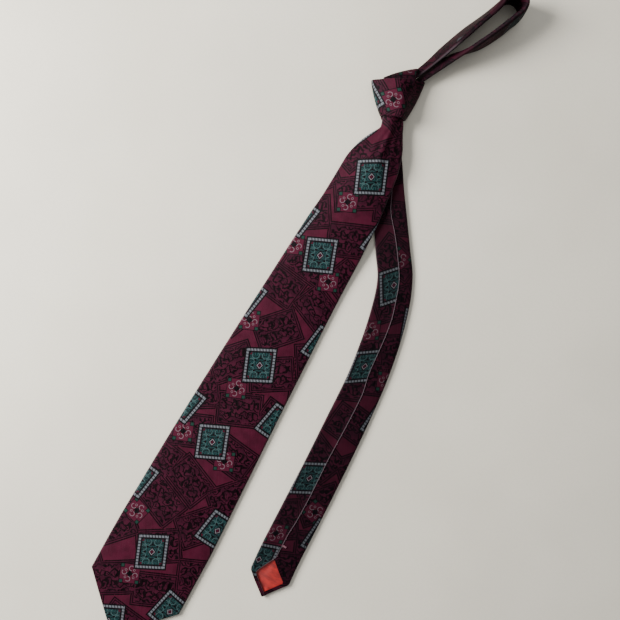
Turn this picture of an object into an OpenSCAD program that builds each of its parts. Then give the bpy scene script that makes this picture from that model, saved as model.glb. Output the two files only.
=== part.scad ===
// Silk necktie, knotted in a four-in-hand and laid flat on its back.
// +Z is up from the surface it lies on, +Y runs up the front blade to the knot,
// and the origin is on the knot's flat underside, near its lower mouth.

/* [Front blade] */
// Width of the front blade at the corners of its point
blade_w = 90; // [80:1:95]
// Length of the front blade below the knot
blade_len = 531; // [500:1:560]
// Thickness of the folded blade
blade_t = 3.8; // [3.4:0.1:4.2]
// Width of the hem along both edges of a point
hem_w = 5; // [4:0.5:7]

/* [Tail] */
// Width of the tail at the corners of its point
tail_w = 38; // [34:1:42]
// Thickness of the folded tail
tail_t = 3.4; // [3.2:0.1:3.6]
// Width of the strip of tail inside the knot
strap_w = 11; // [9:0.5:12]

/* [Knot] */
// Width of the knot across its lower mouth
knot_mouth_w = 19.4; // [18.5:0.1:21]
// Width of the knot across its top
knot_top_w = 45.8; // [42:0.2:48]
// Length of the front band from mouth to top
knot_len = 33.5; // [32:0.5:34]
// Height of the knot at the top of the front band
knot_h = 18.6; // [18.2:0.1:20]
// Turn of the knot, as seen from the front
knot_turn = 22; // [20:0.5:24]

/* [Neck loop] */
// Height of the neck band, which stands on its edge
band_h = 27; // [24:0.5:30]
// Thickness of the folded neck band
band_t = 3.6; // [3.2:0.1:4]
// Lean of the loop away from the blade's centreline
loop_turn = 24.5; // [22:0.5:27]

/* [Cloth layers] */
// Thickness of the silk with its turning
silk_t = 0.7; // [0.5:0.05:0.8]
// Thickness of the tipping
tipping_t = 0.45; // [0.3:0.05:0.5]
// Gap between neighbouring layers
layer_gap = 0.06; // [0.04:0.01:0.08]

/* [Trimmings] */
// Length of the keeper loop across the back of the blade
keeper_len = 52; // [46:1:56]
// Width of the keeper loop
keeper_w = 11; // [9:0.5:14]
// Distance of the keeper loop from the blade's tip
keeper_from_tip = 178; // [165:1:195]
// Thickness of the keeper loop and the label
trim_t = 0.9; // [0.7:0.1:0.9]

/* [Hidden] */
$fn = 32;

slit = 0.55;                 // half of the open seam down the back of a folded piece
edge_r = 0.9;                // bevel along the folded edges
thread_w = 0.7;              // width of a thread
silk_colour = [0.37, 0.12, 0.19];
dark_colour = [0.24, 0.10, 0.15];
coral_colour = [0.88, 0.30, 0.20];
wool_colour = [0.86, 0.83, 0.74];
thread_colour = [0.30, 0.09, 0.15];
label_colour = [0.12, 0.10, 0.12];

// ---- Stations -------------------------------------------------------------
// Front blade at its drawn size: [distance below the knot, left edge, right edge, underside]
blade_drawn_w = 90;
blade_drawn_len = 531;
BLADE = [[10, -8.5, 14, 10.7], [14, -9.5, 17, 10.6], [19, -12, 20.5, 10.3], [28, -17, 24.5, 9.7],
         [38, -20, 27.5, 8.8], [50, -20.9, 29.5, 7.6], [65, -21.2, 31.3, 6.2], [90, -22.6, 34, 4.7],
         [112, -25, 35, 4.0], [130, -26.5, 35.5, 3.9], [150, -28, 35.7, 2.4], [172, -29.5, 36, 1.2],
         [225, -33.4, 37.5, 1.0], [290, -37.6, 39.6, 1.0], [350, -41, 42, 1.0],
         [400, -43.2, 44, 1.0], [432, -44.6, 45, 0.8], [455, -45, 45, 0.4], [486, -45.2, 45, 0.1],
         [500, -31.6, 31.6, 0], [516, -16, 16, 0], [531, -2.4, 2.4, 0]];
blade_corner = 486;          // distance of the point's corners below the knot
blade_seam_end = 446;        // the back seam opens below here
blade_tipping_top = 428;     // top of the tipping

// Tail: [x, y, width, underside]; it leaves the knot as a round nose
tail_drawn_w = 38;
TAIL = [[14.5, -33, 23, 2.4], [28, -57.3, 27, 0.9], [42.2, -80.5, 30, 0.1], [57, -103.5, 31.5, 0],
        [71.3, -125.5, 32, 0], [79.5, -147.5, 33.2, 0], [88, -185.5, 34.6, 0], [93.2, -225.5, 35.5, 0],
        [95.6, -269, 37, 0], [97.3, -309, 37.4, 0], [98.4, -350, 38, 0], [99.3, -391.5, 38, 0],
        [101, -417.5, 38, 0], [102.1, -427, 19.5, 0], [103, -434.7, 3.6, 0]];
tail_seam_end = 10;          // index of the station where the back seam begins to open
nose_r = 7.6;
nose_angles = [78, 58, 38, 19, 0];

// Neck loop in its own frame: [along, across, lean of the top edge, top, underside]
LOOP_LEFT = [[1.6, -3.1, 0, 8.3, 5.1], [6, -3.2, 2, 10.6, 3.2], [12, -3.4, 5, 14, 1.2],
             [24, -4, 10, 19, 0.2], [40, -4.9, 15, 24, 0], [58, -5.9, 17, 27, 0],
             [76, -7, 14, 27, 0], [88, -7.2, 7, 27, 0]];
LOOP_RIGHT = [[86, 13.2, -2, 27, 0], [72, 13.6, -3, 27, 0], [55, 13, -3, 26, 0],
              [38, 11, -2, 23, 0], [24, 8.6, 0, 18, 0.2], [12, 5.6, 0, 13, 1.2],
              [6, 4, 0, 10.2, 3.2], [1.6, 3, 0, 8.3, 5.1]];
loop_end = [92.5, 3];        // middle of the turn at the far end of the loop
loop_end_r = 10.1;
loop_end_steps = 9;
band_drawn_h = 27;

// Places of the knot and of the joints, all in the tie's frame
mouth = [1, -4.3];           // middle of the knot's lower mouth
loop_pivot = [5.3, 51.5, 6.7];
strap_travel = 20;
strap_z = 3.7;
strap_end = -8.2;            // lower end of the strip inside the knot, along the knot
root_len = 26;               // length of the loop's roots, which end inside the knot
root_z = [3.7, 9.8];

// ---- Helpers ---------------------------------------------------------------
function unit(v) = v / norm(v);
function plan(v) = [v[0], v[1]];
// A direction in plan, turned clockwise from +Y
function heading(turn) = [sin(turn), cos(turn)];

// Outline of a folded piece with its back seam open by 2 * gap, as [across, through] pairs.
// through runs from -h at the seam side to +h at the plain side. The first half of the
// points is the outer side of the wall, and the second half comes back along its inner side.
function fold_outline(w, h, gap) =
    let (r = min(edge_r, w / 3), q = r / 3, in = w - silk_t, deep = h - silk_t)
    [[-gap, -h], [-w + r, -h], [-w, -h + r], [-w, h - r], [-w + r, h],
     [w - r, h], [w, h - r], [w, -h + r], [w - r, -h], [gap, -h],
     [gap, -deep], [in - q, -deep], [in, -deep + q], [in, deep - q], [in - q, deep],
     [-in + q, deep], [-in, deep - q], [-in, -deep + q], [-in + q, -deep], [-gap, -deep]];

// Outline of a plain strip from low to high
function strip_outline(w, low, high) = [[-w, low], [-w, high], [w, high], [w, low]];

// Outline of the interlining, which follows the inner side of a folded piece a small gap away,
// with its seam side at low. It is lofted with follow = true, so that it twists as the silk does.
function lining_outline(w, h, low) =
    let (in = w - silk_t - 4 * layer_gap, high = h - silk_t - layer_gap, q = min(edge_r, w / 3) / 3)
    [[-slit, low + layer_gap], [-in + q, low], [-in, low + q], [-in, high - q], [-in + q, high],
     [in - q, high], [in, high - q], [in, low + q], [in - q, low], [slit, low + layer_gap]];

// One ring of points: the outline drawn at a station [centre, across, through]
function ring(st, outline) = [for (p = outline) st[0] + p[0] * st[1] + p[1] * st[2]];

// A closed solid through a list of rings that have the same, even number of points.
// A ring is a wall, so each end is closed by joining its outer side to its inner side.
// follow = true splits the sides along their other diagonal.
module loft(rings, follow = false) {
    n = len(rings[0]);
    last = len(rings) - 1;
    points = [for (r = rings, p = r) p];
    sides = [for (i = [0 : last - 1], j = [0 : n - 1])
        let (a = i * n + j, b = i * n + (j + 1) % n)
        each (follow ? [[a, b, a + n], [b, b + n, a + n]] : [[a, b, b + n], [a, b + n, a + n]])];
    finish = [for (j = [0 : n / 2 - 2], t = [[j, j + 1, n - 2 - j], [j, n - 2 - j, n - 1 - j]])
        [for (k = t) k + last * n]];
    start = [for (j = [0 : n / 2 - 2], t = [[j, n - 2 - j, j + 1], [j, n - 1 - j, n - 2 - j]]) t];
    polyhedron(points, concat(sides, start, finish), convexity = 6);
}

// ---- Front blade -------------------------------------------------------------
blade_k = blade_w / blade_drawn_w;
blade_stretch = blade_len / blade_drawn_len;
function blade_mid(s) = [(s[1] + s[2]) / 2 * blade_k, -s[0] * blade_stretch, s[3] + blade_t / 2];
function blade_half(s) = (s[2] - s[1]) / 2 * blade_k;
// The back is down, so a section's seam side faces the floor
function blade_station(s) = [blade_mid(s), [1, 0, 0], [0, 0, 1]];
function blade_gap(s) = s[0] <= blade_seam_end ? slit
    : let (open = min(1, (s[0] - blade_seam_end) / (blade_corner - blade_seam_end)))
      max(slit, min(open * (blade_half(s) - hem_w), blade_half(s) - hem_w));
blade_inside = blade_t / 2 - silk_t - layer_gap;

module blade_shell() {
    color(silk_colour)
    loft([for (s = BLADE) ring(blade_station(s), fold_outline(blade_half(s), blade_t / 2, blade_gap(s)))]);
}

module blade_interlining() {
    low = -blade_inside + tipping_t + layer_gap;
    color(wool_colour)
    loft([for (s = BLADE) ring(blade_station(s), lining_outline(blade_half(s), blade_t / 2, low))],
        follow = true);
}

module blade_tipping() {
    color(coral_colour)
    loft([for (s = BLADE) if (s[0] >= blade_tipping_top) ring(blade_station(s),
        strip_outline(blade_half(s) - silk_t - 6 * layer_gap, -blade_inside, -blade_inside + tipping_t))]);
}

module blade_slip_stitch() {
    color(thread_colour)
    loft([for (s = BLADE) if (s[0] < blade_seam_end) ring(blade_station(s),
        strip_outline(thread_w / 2, -blade_t / 2, -blade_t / 2 + silk_t - layer_gap))]);
}

module blade_bar_tack() {
    tack_len = 5;
    low = 0.7;               // the seam lies this high where the tack closes it
    color(thread_colour)
    translate([-thread_w / 2, -(blade_seam_end - 1) * blade_stretch, low])
        cube([thread_w, tack_len, silk_t - layer_gap]);
}

keeper_y = -blade_len + keeper_from_tip;
module keeper_loop() {
    color(silk_colour)
    translate([0, keeper_y, 0])
        linear_extrude(trim_t)
            offset(r = 1)
                square([keeper_len - 2, keeper_w - 2], center = true);
}

// A short row of stitches at each end of the keeper loop
module keeper_tacks() {
    tack_w = 1.4;
    color(thread_colour)
    for (side = [-1, 1])
        translate([side * (keeper_len / 2 + tack_w) - tack_w / 2, keeper_y - keeper_w / 2, 0.1])
            cube([tack_w, keeper_w, trim_t - 0.15]);
}

// A plain woven label, folded and sewn below the keeper loop
module care_label() {
    label_w = 30;
    label_h = 42;
    color(label_colour)
    translate([-label_w / 2, keeper_y - keeper_w - label_h, 0])
        cube([label_w, label_h, trim_t]);
}

// ---- Tail --------------------------------------------------------------------
tail_k = tail_w / tail_drawn_w;
knot_down = heading(180 - knot_turn);    // from the knot's top to its mouth
knot_right = [cos(knot_turn), sin(knot_turn)];
strap_low = mouth + knot_down * (-strap_end);
// The tail turns about the middle of its round nose, just below the strip
nose_gap = 0.5;
tail_pivot = strap_low + knot_down * (nose_r + nose_gap);
tail_nose = [for (a = nose_angles) concat(
    tail_pivot - knot_down * (nose_r * sin(a)), [2 * nose_r * cos(a), strap_z - (1 - sin(a)) * 0.6])];
TAIL_ALL = concat(tail_nose, TAIL);
tail_last = len(TAIL_ALL) - 1;
tail_seam_from = len(tail_nose) + tail_seam_end;
tail_corner = len(tail_nose) + 12;
function tail_way(i) = unit(plan(TAIL_ALL[min(i + 1, tail_last)]) - plan(TAIL_ALL[max(i - 1, 0)]));
// The back is up, so a section's seam side faces away from the floor
function tail_station(i) =
    let (s = TAIL_ALL[i], way = tail_way(i))
    [[s[0], s[1], s[3] + tail_t / 2], [way[1], -way[0], 0], [0, 0, -1]];
function tail_half(i) = TAIL_ALL[i][2] / 2 * tail_k;
function tail_gap(i) = i <= tail_seam_from ? slit
    : i == tail_seam_from + 1 ? 1.2
    : max(slit, tail_half(i) - hem_w);
tail_inside = tail_t / 2 - silk_t - layer_gap;

module tail_shell() {
    color(silk_colour)
    loft([for (i = [0 : tail_last]) ring(tail_station(i),
        fold_outline(tail_half(i), tail_t / 2, tail_gap(i)))]);
}

module tail_interlining() {
    low = -tail_inside + tipping_t + layer_gap;
    color(wool_colour)
    loft([for (i = [1 : tail_last]) ring(tail_station(i), lining_outline(tail_half(i), tail_t / 2, low))],
        follow = true);
}

module tail_tipping() {
    color(coral_colour)
    loft([for (i = [tail_seam_from + 1 : tail_last]) ring(tail_station(i),
        strip_outline(tail_half(i) - silk_t - 6 * layer_gap, -tail_inside, -tail_inside + tipping_t))]);
}

module tail_slip_stitch() {
    color(thread_colour)
    loft([for (i = [1 : tail_seam_from]) ring(tail_station(i),
        strip_outline(thread_w / 2, -tail_t / 2, -tail_t / 2 + silk_t - layer_gap))]);
}

// A short bar of thread across the end of the back seam
module tail_bar_tack() {
    tack = [4, 1.6, 0.5];
    color(thread_colour)
    translate([99.1, -386, tail_t + layer_gap + tack[2] / 2])
        cube(tack, center = true);
}

// ---- Knot --------------------------------------------------------------------
// Everything in the knot is drawn with its mouth at the origin and its top towards +Y
module knot_frame() {
    translate(mouth) rotate(knot_turn) children();
}

function knot_half(y) = knot_mouth_w / 2 + (knot_top_w - knot_mouth_w) / 2 * y / knot_len;
band_wall = 1.5;
band_lining = 1.4;
back_t = 3.1;
band_low = back_t + layer_gap;
mouth_drop = 1.4;            // the band is lower at the mouth than at its top

function arch_outline(w, top, wall) =
    let (r = 3, low = band_low, in = w - wall, roof = top - wall)
    [[-w, low], [-w, top - r], [-w + r * 0.3, top - r * 0.3], [-w + r, top],
     [w - r, top], [w - r * 0.3, top - r * 0.3], [w, top - r], [w, low],
     [in, low], [in, roof - r * 0.5], [in - r * 0.15, roof - r * 0.15], [in - r * 0.5, roof],
     [-in + r * 0.5, roof], [-in + r * 0.15, roof - r * 0.15], [-in, roof - r * 0.5], [-in, low]];

module arch(inset, wall) {
    steps = 4;
    loft([for (i = [steps : -1 : 0])
        let (y = knot_len * i / steps, top = knot_h - inset - mouth_drop * (1 - i / steps))
        ring([[0, y, 0], [1, 0, 0], [0, 0, 1]], arch_outline(knot_half(y) - inset, top, wall))]);
}

module knot_front_band() {
    color(silk_colour) knot_frame() arch(0, band_wall);
}

module knot_band_interlining() {
    color(wool_colour) knot_frame() arch(band_wall + layer_gap, band_lining);
}

module knot_back_pass() {
    low = knot_half(0);
    high = knot_half(knot_len);
    color(dark_colour) knot_frame()
        linear_extrude(back_t)
            polygon([[-low, -1], [low, -1], [high, knot_len], [2, knot_len + 2], [-high, knot_len]]);
}

inner_wall = band_wall + band_lining + 4 * layer_gap;

module knot_first_cross() {
    y = [2, 15];
    color(dark_colour) knot_frame()
        translate([0, 0, 7.6])
            linear_extrude(2.1)
                polygon([for (p = [[-1, 0], [1, 0], [1, 1], [-1, 1]])
                    [p[0] * (knot_half(y[p[1]]) - inner_wall), y[p[1]]]]);
}

// The front blade where it passes down behind the front band
module knot_tucked_blade() {
    tuck_z = [10.3, 13.9];
    color(silk_colour) knot_frame()
        translate([0, 0, tuck_z[0]])
            linear_extrude(tuck_z[1] - tuck_z[0])
                polygon([[-5.8, -1.5], [5.8, -1], [6, 2], [9, 16], [8, knot_len - 0.2],
                         [-15, knot_len - 0.2], [-12, 16], [-6, 2]]);
}

// The pass that comes up behind the knot and over its top, beside the neck loop
module knot_over_strip() {
    strip_top = 14.6;
    color(dark_colour) knot_frame()
        translate([0, 0, back_t + layer_gap])
            linear_extrude(strip_top - back_t)
                polygon([[-12, knot_len + 0.1], [-3, knot_len + 0.1], [9, 45], [-1, 41.5]]);
}

// The strip of tail inside the knot
module tail_strap() {
    color(silk_colour) knot_frame()
        translate([-strap_w / 2, strap_end, strap_z])
            cube([strap_w, 12 - strap_end, tail_t]);
}

// ---- Neck loop ---------------------------------------------------------------
loop_way = heading(loop_turn);
loop_side = [loop_way[1], -loop_way[0]];
function loop_place(along, across) = plan(loop_pivot) + along * loop_way + across * loop_side;

// A root is half of the doubled band where it runs into the knot
module loop_root(across, lean) {
    thick = 4.8;
    tip_h = 1.6;
    stations = [[-1.6, tip_h], [-8, root_z[1] - loop_pivot[2]], [-root_len, root_z[1] - loop_pivot[2]]];
    loft([for (s = stations)
        ring([[each loop_place(s[0], across - lean * s[0] / root_len), loop_pivot[2]],
              [each loop_side, 0], [0, 0, 1]],
             strip_outline(thick / 2, -s[1] + 0.05, s[1]))]);
}

module loop_root_left() {
    color(silk_colour) loop_root(-3, 0.3);
}

module loop_root_right() {
    color(silk_colour) loop_root(3, -0.3);
}

// The loop's stations, with the turn at its far end worked out as an arc
loop_turn_st = [for (i = [0 : loop_end_steps - 1])
    let (a = 170 - 160 * i / (loop_end_steps - 1))
    [loop_end[0] + loop_end_r * sin(a), loop_end[1] + loop_end_r * cos(a), 0, 27, 0]];
LOOP = concat(LOOP_LEFT, loop_turn_st, LOOP_RIGHT);
loop_last = len(LOOP) - 1;
band_k = band_h / band_drawn_h;
function loop_mid(i) = loop_place(LOOP[i][0], LOOP[i][1]);
function loop_run(i) = unit(loop_mid(min(i + 1, loop_last)) - loop_mid(max(i - 1, 0)));
// The band's back, with its seam, faces into the loop
function loop_station(i) =
    let (s = LOOP[i], run = loop_run(i), out = [-run[1], run[0]], sink = sin(s[2]), stand = cos(s[2]))
    [[each loop_mid(i), (s[3] + s[4]) / 2 * band_k],
     [each (-out * sink), stand], [each (out * stand), sink]];
function loop_half(i) = (LOOP[i][3] - LOOP[i][4]) / 2 * band_k;

module neck_shell() {
    color(silk_colour)
    loft([for (i = [0 : loop_last]) ring(loop_station(i), fold_outline(loop_half(i), band_t / 2, slit))]);
}

module neck_interlining() {
    low = -(band_t / 2 - silk_t - layer_gap);
    color(wool_colour)
    loft([for (i = [1 : loop_last - 1]) ring(loop_station(i), lining_outline(loop_half(i), band_t / 2, low))],
        follow = true);
}

module neck_slip_stitch() {
    color(thread_colour)
    loft([for (i = [1 : loop_last - 1]) ring(loop_station(i),
        strip_outline(thread_w / 2, -band_t / 2, -band_t / 2 + silk_t - layer_gap))]);
}

knot_front_band();
knot_band_interlining();
knot_back_pass();
knot_first_cross();
knot_tucked_blade();
knot_over_strip();
blade_shell();
blade_interlining();
blade_tipping();
blade_slip_stitch();
blade_bar_tack();
keeper_loop();
keeper_tacks();
care_label();
tail_strap();
tail_shell();
tail_interlining();
tail_tipping();
tail_slip_stitch();
tail_bar_tack();
loop_root_left();
loop_root_right();
neck_shell();
neck_interlining();
neck_slip_stitch();
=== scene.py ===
"""A knotted silk necktie laid flat: the looks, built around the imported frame.

Lengths in this script are millimetres, in the frame's own axes: +Y runs up the front blade to
the knot, +Z is up from the floor. MM turns them into metres where a mesh is made.
"""
import math

import bpy
import numpy as np
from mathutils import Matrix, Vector


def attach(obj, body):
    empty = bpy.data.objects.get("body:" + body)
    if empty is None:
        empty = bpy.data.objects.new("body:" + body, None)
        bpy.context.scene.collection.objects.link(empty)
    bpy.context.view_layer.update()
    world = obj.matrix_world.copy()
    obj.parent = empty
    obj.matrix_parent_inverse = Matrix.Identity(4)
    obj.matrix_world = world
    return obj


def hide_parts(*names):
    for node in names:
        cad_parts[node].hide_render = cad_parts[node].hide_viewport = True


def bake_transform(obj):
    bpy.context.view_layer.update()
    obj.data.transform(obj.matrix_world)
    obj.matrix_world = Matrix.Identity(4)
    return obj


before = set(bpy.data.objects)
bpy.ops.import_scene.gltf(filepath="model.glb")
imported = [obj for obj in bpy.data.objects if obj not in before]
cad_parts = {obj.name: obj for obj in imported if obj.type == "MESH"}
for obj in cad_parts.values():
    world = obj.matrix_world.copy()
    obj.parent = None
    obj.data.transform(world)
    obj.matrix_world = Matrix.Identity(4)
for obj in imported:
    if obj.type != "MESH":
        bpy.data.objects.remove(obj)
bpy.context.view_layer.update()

MM = 0.001
UV_MM = 0.01                            # one unit of a pattern's UV map is 100 mm of cloth
FULL_TURN = 2.0 * math.pi


def placed(name, data):
    """A new object in the scene."""
    thing = bpy.data.objects.new(name, data)
    bpy.context.collection.objects.link(thing)
    return thing


# ---- Camera and light
VIEW_TURN = math.radians(28.6)          # the blade runs down to the left in the picture
VIEW_CENTRE = (17.3, -187.4)
VIEW_HEIGHT = 600.0
VIEW_WIDTH = 563.6                      # what the picture spans on the floor
SENSOR = 36.0
ROOM_COLOUR = (0.93, 0.95, 1.0, 1.0)
ROOM_STRENGTH = 0.42


def make_camera():
    data = bpy.data.cameras.new("view_from_above")
    data.sensor_width = SENSOR
    data.lens = SENSOR * VIEW_HEIGHT / VIEW_WIDTH
    data.clip_start = 10.0 * MM
    data.dof.use_dof = False
    camera = placed("view_from_above", data)
    camera.location = (VIEW_CENTRE[0] * MM, VIEW_CENTRE[1] * MM, VIEW_HEIGHT * MM)
    camera.rotation_euler = (0.0, 0.0, VIEW_TURN)
    bpy.context.scene.camera = camera


def area_light(name, right, up, height, size, watts, colour):
    """A soft square light aimed at the picture's centre. Distances are in metres, from there
    along the picture's own right and up, and from the floor."""
    cos, sin = math.cos(VIEW_TURN), math.sin(VIEW_TURN)
    data = bpy.data.lights.new(name, "AREA")
    data.shape = "SQUARE"
    data.size = size
    data.energy = watts
    data.color = colour
    light = placed(name, data)
    centre = Vector((VIEW_CENTRE[0] * MM, VIEW_CENTRE[1] * MM, 0.0))
    light.location = centre + Vector((cos * right - sin * up, sin * right + cos * up, height))
    light.rotation_euler = (centre - light.location).to_track_quat("-Z", "Y").to_euler()


def make_light():
    area_light("window", right=-0.85, up=0.35, height=0.60, size=0.55, watts=40.0,
               colour=(1.0, 0.99, 0.98))
    area_light("ceiling", right=0.45, up=0.75, height=1.2, size=1.0, watts=4.0,
               colour=(0.97, 0.98, 1.0))
    world = bpy.data.worlds.new("room")
    world.use_nodes = True
    background = world.node_tree.nodes["Background"]
    background.inputs["Color"].default_value = ROOM_COLOUR
    background.inputs["Strength"].default_value = ROOM_STRENGTH
    bpy.context.scene.world = world


# ---- Shader maths
def add_node(kind, **settings):
    """A new node in the material that is being made."""
    node = Num.tree.nodes.new("ShaderNode" + kind)
    for name, value in settings.items():
        setattr(node, name, value)
    return node


def feed(socket, value):
    """Gives a socket its value, which is a number, a Num, a colour or another socket."""
    if isinstance(value, Num):
        Num.tree.links.new(value.socket, socket)
    elif isinstance(value, bpy.types.NodeSocket):
        Num.tree.links.new(value, socket)
    elif isinstance(value, tuple):
        socket.default_value = (*value, 1.0)
    else:
        socket.default_value = value


def feed_all(node, values):
    for name, value in values.items():
        feed(node.inputs[name], value)


def maths(operation):
    """A function that adds one Math node and gives its result."""
    def add_math(*values):
        node = add_node("Math", operation=operation)
        for socket, value in zip(node.inputs, values):
            feed(socket, value)
        return Num(node.outputs[0])
    return add_math


class Num:
    """A number in a material's node tree. Arithmetic on it adds Math nodes."""
    tree = None
    __add__ = maths("ADD")
    __sub__ = maths("SUBTRACT")
    __mul__ = maths("MULTIPLY")
    __rmul__ = maths("MULTIPLY")
    __abs__ = maths("ABSOLUTE")

    def __init__(self, socket):
        self.socket = socket

    def __rsub__(self, other):
        return subtract(other, self)

    def __neg__(self):
        return self * -1.0


subtract = maths("SUBTRACT")
larger = maths("MAXIMUM")
smaller = maths("MINIMUM")
greater = maths("GREATER_THAN")
fraction = maths("FRACT")
whole = maths("FLOOR")
root = maths("SQRT")
sine = maths("SINE")
angle_of = maths("ARCTAN2")


def waves(a, pitch):
    return sine(a * (FULL_TURN / pitch))


def length_of(x, y):
    return root(x * x + y * y)


def soft(value, low, high):
    """0 where value is under low, 1 where it is over high, and smooth between."""
    node = add_node("MapRange", interpolation_type="SMOOTHSTEP")
    feed_all(node, {"Value": value, "From Min": low, "From Max": high})
    return Num(node.outputs["Result"])


def inside(distance, blur=0.12):
    """1 where a signed distance is negative, with a soft edge: by default about a yarn wide."""
    return 1.0 - soft(distance, -blur, blur)


def line(distance, half_width):
    return inside(abs(distance) - half_width)


def box_distance(x, y, half_x, half_y):
    return larger(abs(x) - half_x, abs(y) - half_y)


def noise(vector, scale, detail=2.0, roughness=0.5):
    node = add_node("TexNoise", noise_dimensions="3D")
    feed_all(node, {"Vector": vector, "Scale": scale, "Detail": detail, "Roughness": roughness})
    return Num(node.outputs["Fac"])


def blended(factor, first, second):
    """first where factor is 0, second where it is 1. Either is a colour or a colour socket."""
    node = add_node("Mix", data_type="RGBA")
    feed_all(node, {"Factor": factor, "A": first, "B": second})
    return node.outputs["Result"]


def painted(colour, layers):
    """Flat colours laid over colour in turn. Each layer is (where it shows, its colour)."""
    for mask, paint in layers:
        colour = blended(mask, colour, paint)
    return colour


def vector_of(x, y):
    node = add_node("CombineXYZ")
    feed_all(node, {"X": x, "Y": y})
    return node.outputs[0]


def pattern_xy(layer):
    """The two coordinates of one of the pattern's UV maps, in millimetres."""
    split = add_node("SeparateXYZ")
    feed(split.inputs[0], add_node("UVMap", uv_map=layer).outputs["UV"])
    return Num(split.outputs[0]) * (1.0 / UV_MM), Num(split.outputs[1]) * (1.0 / UV_MM)


def new_material(name):
    material = bpy.data.materials.new(name)
    material.use_nodes = True
    Num.tree = material.node_tree
    return material, material.node_tree.nodes["Principled BSDF"]


def bump(shader, height, strength, depth):
    node = add_node("Bump")
    feed_all(node, {"Strength": strength, "Distance": depth * MM, "Height": height})
    feed(shader.inputs["Normal"], node.outputs[0])


# ---- The jacquard
GRAIN = math.radians(23.0)              # the ribs lean this far from the blade's length: cut on the bias
RIB_PITCH = 0.95
PICK_PITCH = 0.42

BURGUNDY = (0.0350, 0.0037, 0.0108)
BURGUNDY_BRIGHT = (0.0500, 0.0050, 0.0150)
TILE_DEEP = (0.0220, 0.0028, 0.0086)
TILE_LIGHT = (0.0370, 0.0043, 0.0130)
BLACK_RED = (0.0005, 0.0002, 0.0004)
SILVER = (0.105, 0.115, 0.125)
SILVER_DEEP = (0.020, 0.023, 0.027)
TEAL = (0.0022, 0.0085, 0.0090)
TEAL_LIGHT = (0.0105, 0.0430, 0.0425)
CRIMSON = (0.046, 0.0034, 0.0110)
ROSE = (0.120, 0.078, 0.092)
GREEN = (0.006, 0.030, 0.021)
INK = (0.0005, 0.0008, 0.0012)
FILIGREE = (0.044, 0.082, 0.080)
DIAMOND_RIM = (0.150, 0.140, 0.150)
DIAMOND_DEEP = (0.010, 0.002, 0.006)
SLUB_LIGHT = (0.060, 0.020, 0.032)
RIB_DEEP = (0.004, 0.0015, 0.0025)
# a pale painted highlight, partly wear, laid along folds and seams
HIGHLIGHT_WEAR_TINT = (0.20, 0.15, 0.17)
SHEEN_TINT = (0.95, 0.72, 0.80)

MEDALLION_HALF = (13.5, 15.3)
MOTIF_HALF = (8.6, 8.6)
TILE_HALF = (21.0, 16.0)
BEAD_PITCH = 2.78
FRAME_WIDTH = 3.5


def arc(x, y, centre, radius, half_width, cut, cut_at):
    """Part of a ring: the stroke of a scroll, kept on one side of a line with normal cut."""
    from_x, from_y = x - centre[0], y - centre[1]
    ring = abs(length_of(from_x, from_y) - radius) - half_width
    return larger(ring, from_x * cut[0] + from_y * cut[1] - cut_at)


def curls(x, y, pitch_x, pitch_y, turns_apart, half_width, reach):
    """Signed distance to a field of spirals, one in each cell of a staggered grid, wound
    left and right by turns, with a ring across the border between two cells."""
    row_at = y * (1.0 / pitch_y)
    row = whole(row_at)
    column_at = x * (1.0 / pitch_x) + fraction(row * 0.5)
    cell_x = (fraction(column_at) - 0.5) * pitch_x
    cell_y = (fraction(row_at) - 0.5) * pitch_y
    hand = fraction((whole(column_at) + row) * 0.5) * 4.0 - 1.0
    turn = angle_of(cell_y, cell_x * hand) * (1.0 / FULL_TURN)
    radius = length_of(cell_x, cell_y)
    spiral = abs(fraction(radius * (1.0 / turns_apart) - turn) - 0.5) * turns_apart
    curl = larger(spiral - half_width, radius - reach)
    ring = abs(length_of(abs(cell_x) - pitch_x * 0.5, cell_y) - 0.28 * pitch_x)
    return smaller(curl, ring - half_width * 0.8)


def medallion(colour):
    """A large framed panel: a rope border, a field full of scrolls, dots and a diamond."""
    x, y = pattern_xy("medallion")
    ax, ay = abs(x), abs(y)
    past_x, past_y = ax - MEDALLION_HALF[0], ay - MEDALLION_HALF[1]
    frame_edge = larger(past_x, past_y)
    field = frame_edge + FRAME_WIDTH
    from_rope = frame_edge + 1.25
    upright = greater(past_x, past_y)
    along = upright * (y + 0.12 * x) + (1.0 - upright) * (x + 0.30 * y)
    bead = abs(fraction(along * (1.0 / BEAD_PITCH) + 0.5) - 0.5) * BEAD_PITCH
    rope = larger(abs(from_rope) - 0.98, 0.48 - bead)
    small_scrolls = curls(ax + 0.9, ay + 0.4, pitch_x=4.9, pitch_y=4.3, turns_apart=1.75,
                          half_width=0.33, reach=2.1)
    sweep = smaller(arc(ax, ay, (4.4, 9.0), 3.0, 0.34, (0.25, 0.97), 1.6),
                    arc(ax, ay, (7.8, 3.6), 2.5, 0.34, (0.95, -0.3), 1.4))
    strokes = larger(smaller(small_scrolls, sweep), field + 0.5)
    corner = larger(larger(8.0 - ax, 9.7 - ay), field + 0.1)
    notch = larger(9.0 - ax, 10.7 - ay)
    side_dots = smaller(length_of(ax - 4.6, ay - 4.8), length_of(ax - 6.2, ay))
    dots = smaller(length_of(ax, ay - 6.6), side_dots)
    diamond = (ax * 1.12 + ay) * 0.72
    colour = painted(colour, [
        (inside(frame_edge - 1.1), INK),
        (line(from_rope, 1.12), SILVER_DEEP),
        (inside(rope, 0.22), SILVER),
        (inside(field), TEAL),
        (inside(strokes, 0.2), TEAL_LIGHT),
        (inside(larger(sweep + 0.1, field + 0.5), 0.2), FILIGREE),
        (inside(larger(corner, -notch)), CRIMSON),
        (inside(dots - 0.95), INK),
        (inside(diamond - 3.0), INK),
        (inside(diamond - 2.25), DIAMOND_RIM),
        (inside(diamond - 1.65), DIAMOND_DEEP),
        (inside(diamond - 0.9), CRIMSON)])
    return colour, frame_edge


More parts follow.
